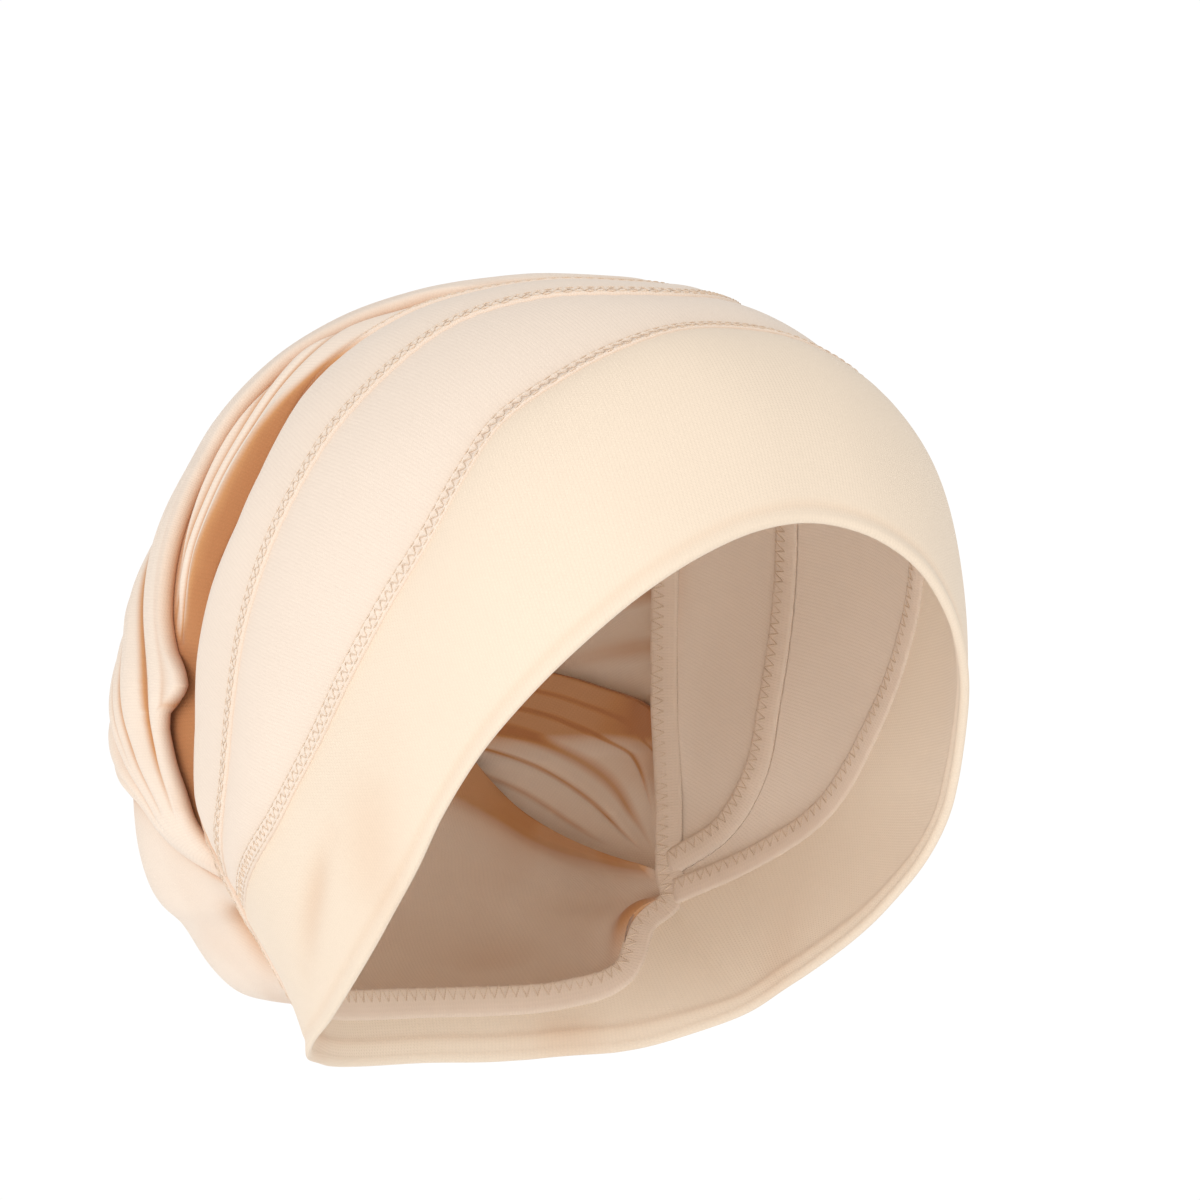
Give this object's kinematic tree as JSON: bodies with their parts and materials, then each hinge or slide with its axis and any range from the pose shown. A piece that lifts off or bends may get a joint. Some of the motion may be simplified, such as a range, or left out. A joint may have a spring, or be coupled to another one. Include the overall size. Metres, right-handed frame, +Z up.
{
  "type": "underscarf cap",
  "caption": "Close-fitting stretch-jersey underscarf cap with smooth crescent panels and a twisted, pleated back, open at the face and hollow inside",
  "frame": {"origin": "where the top of the head touches the inside of the crown", "axes": "+Z up, the face opening towards -Y, +X the wearer's left"},
  "size_m": [0.1534, 0.2133, 0.1789],
  "materials": {
    "band_jersey": "smooth matte jersey, warm cream",
    "panel_jersey": "smooth matte jersey, warm cream",
    "strand_jersey": "pleated matte jersey, warm cream",
    "pouch_jersey": "loose matte jersey, warm cream"
  },
  "bodies": {
    "root": {"front_band": "band_jersey", "second_panel": "panel_jersey", "third_panel": "panel_jersey", "over_strand": "strand_jersey", "under_strand": "strand_jersey", "under_strand_tail": "strand_jersey", "nape_pouch": "pouch_jersey"}
  },
  "joints": []
}
